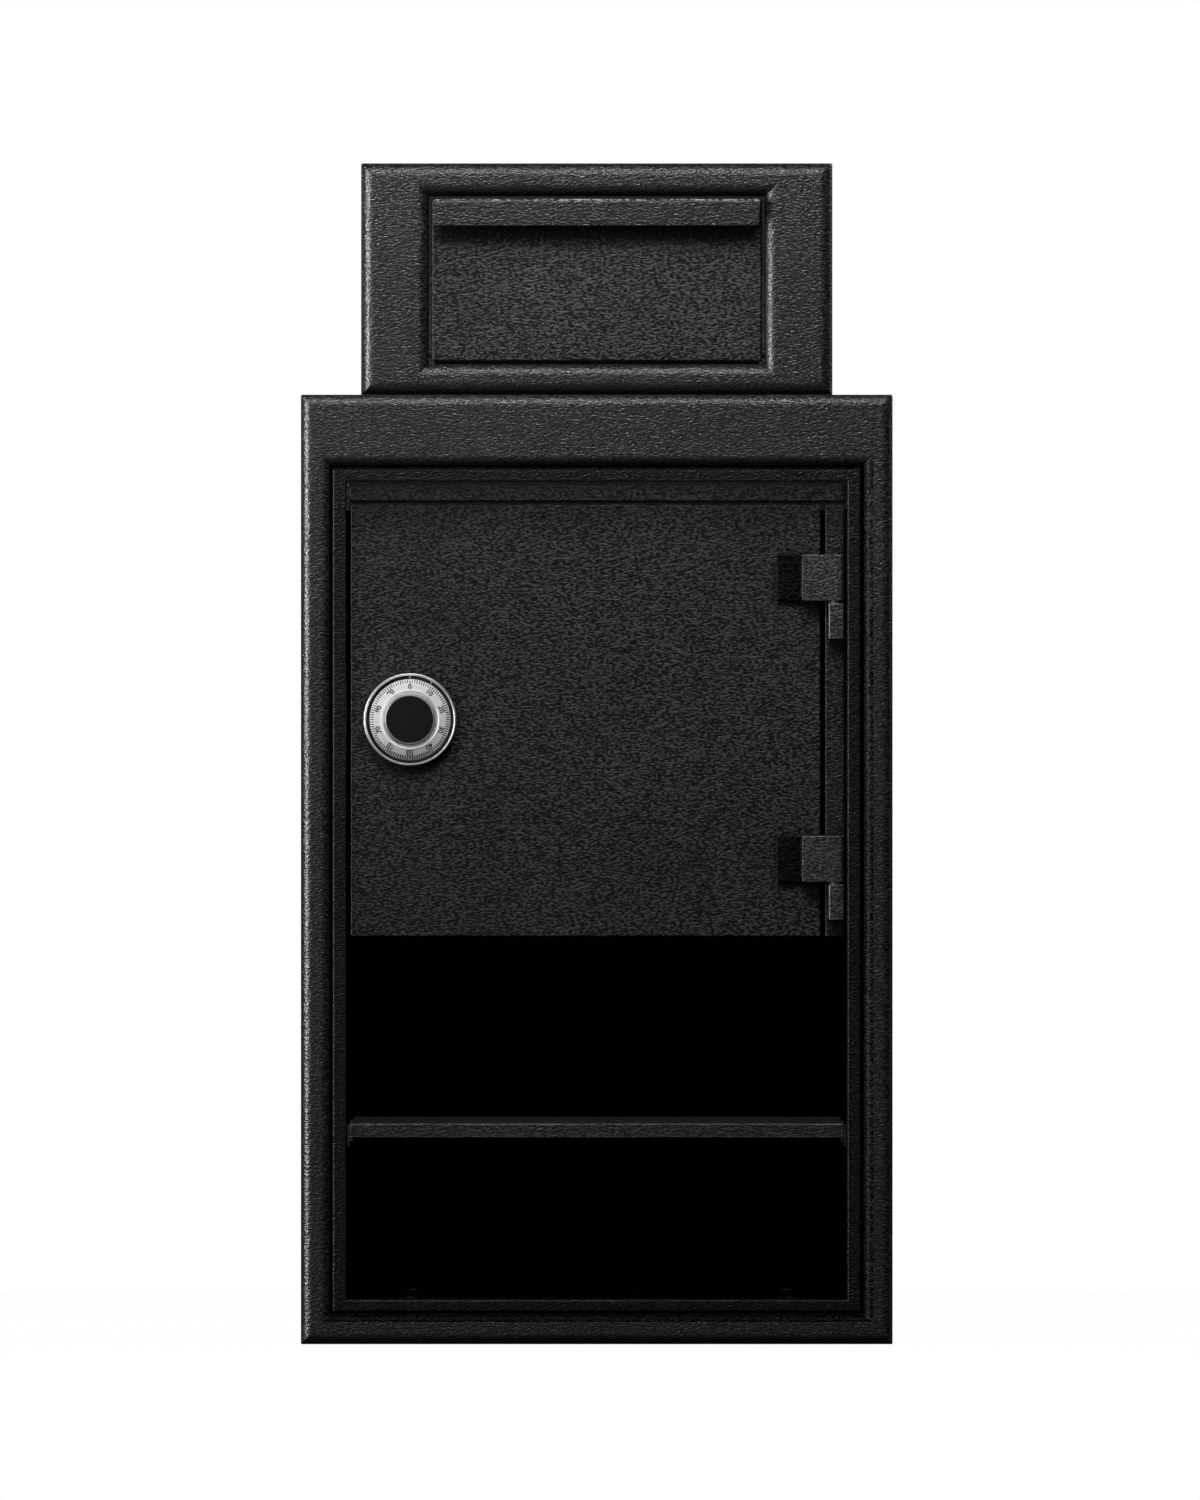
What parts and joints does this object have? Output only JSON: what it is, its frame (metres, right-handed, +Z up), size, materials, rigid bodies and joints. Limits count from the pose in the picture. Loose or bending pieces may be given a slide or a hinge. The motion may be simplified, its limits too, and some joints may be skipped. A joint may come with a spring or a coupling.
{
  "type": "depository drop box",
  "caption": "Thick-walled steel deposit box: tilting hopper drawer on top, locked inner compartment with combination dial, open bay with shelf.",
  "frame": {"origin": "centre of the cabinet's footprint, on the floor", "axes": "+Z up, the front with the dial and the hopper drawer faces -Y, +X to the right seen from the front"},
  "size_m": [0.592, 0.56, 1.182],
  "materials": {
    "wrinkle_paint": "dark charcoal wrinkle powder coat",
    "door_paint": "dark charcoal fine-texture powder coat",
    "jamb_paint": "black satin powder coat",
    "liner_paint": "flat black paint",
    "leaf_steel": "blackened steel",
    "zinc_steel": "zinc-plated steel",
    "satin_chrome": "satin chrome",
    "dial_black": "flat black",
    "lock_brass": "machined brass",
    "bronze": "oiled bronze",
    "barrier": "cast cement-type fill",
    "rubber": "moulded rubber"
  },
  "bodies": {
    "cabinet": {"front_frame": "wrinkle_paint", "body_sides": "wrinkle_paint", "body_top": "wrinkle_paint", "body_bottom": "wrinkle_paint", "body_back": "wrinkle_paint", "jamb_frame": "jamb_paint", "inner_liner": "liner_paint", "barrier_panels": "barrier", "anchor_sleeves": "zinc_steel", "strike_block": "zinc_steel", "compartment_header": "door_paint", "hinge_stile": "door_paint", "compartment_floor": "liner_paint", "floor_angles": "liner_paint", "door_stop": "liner_paint", "shelf": "door_paint", "shelf_clips": "zinc_steel", "throat_liner": "liner_paint", "fish_comb": "zinc_steel", "frame_knuckles": "wrinkle_paint", "hinge_pins": "zinc_steel", "hinge_washers": "bronze", "hopper_face": "wrinkle_paint", "hopper_sides": "wrinkle_paint", "hopper_top": "wrinkle_paint", "hopper_back": "wrinkle_paint", "hopper_base": "wrinkle_paint", "hopper_bolts": "zinc_steel", "pivot_brackets": "jamb_paint", "pivot_bushings": "bronze", "anti_fish_baffle": "jamb_paint", "closing_bumpers": "rubber"},
    "inner_door": {"inner_door_plate": "door_paint", "hinge_leaves": "leaf_steel", "hinge_blocks": "wrinkle_paint", "dead_bar": "zinc_steel", "dial_ring": "satin_chrome", "spindle_tube": "lock_brass", "lock_case": "zinc_steel", "lock_cover": "zinc_steel", "lock_screws": "zinc_steel", "wheel_post": "lock_brass", "wheel_spacers": "lock_brass"},
    "dial": {"dial": "satin_chrome", "dial_knob": "satin_chrome", "knob_cap": "dial_black", "spindle": "lock_brass", "drive_cam": "lock_brass"},
    "wheel_1": {"lock_wheel_1": "lock_brass"},
    "wheel_2": {"lock_wheel_2": "lock_brass"},
    "wheel_3": {"lock_wheel_3": "lock_brass"},
    "lock_bolt": {"lock_bolt": "lock_brass", "lever_screw": "zinc_steel"},
    "fence_lever": {"lever": "zinc_steel"},
    "hopper_door": {"drawer_front": "wrinkle_paint", "drawer_handle": "wrinkle_paint", "drawer_sides": "jamb_paint", "drawer_tray": "jamb_paint", "drawer_pins": "zinc_steel"}
  },
  "joints": [
    {"name": "inner_door_swing", "type": "hinge", "parent": "cabinet", "child": "inner_door", "pos_m": [0.24025, -0.234, 0.625], "axis": [0, 0, 1], "range_deg": [0, 90]},
    {"name": "dial_turn", "type": "hinge", "parent": "inner_door", "child": "dial", "pos_m": [-0.18725, -0.225, 0.625], "axis": [0, 1, 0], "continuous": true},
    {"name": "wheel_1_turn", "type": "hinge", "parent": "inner_door", "child": "wheel_1", "pos_m": [-0.18725, -0.2035, 0.625], "axis": [0, 1, 0], "continuous": true},
    {"name": "wheel_2_turn", "type": "hinge", "parent": "inner_door", "child": "wheel_2", "pos_m": [-0.18725, -0.1997, 0.625], "axis": [0, 1, 0], "continuous": true},
    {"name": "wheel_3_turn", "type": "hinge", "parent": "inner_door", "child": "wheel_3", "pos_m": [-0.18725, -0.1959, 0.625], "axis": [0, 1, 0], "continuous": true},
    {"name": "bolt_throw", "type": "slide", "parent": "inner_door", "child": "lock_bolt", "axis": [-1, 0, 0], "range_m": [0, 0.012]},
    {"name": "lever_drop", "type": "hinge", "parent": "lock_bolt", "child": "fence_lever", "pos_m": [-0.215, -0.208, 0.6465], "axis": [0, 1, 0], "range_deg": [0, 7]},
    {"name": "hopper_tilt", "type": "hinge", "parent": "cabinet", "child": "hopper_door", "pos_m": [0, -0.24, 0.992], "axis": [1, 0, 0], "range_deg": [0, 60]}
  ]
}
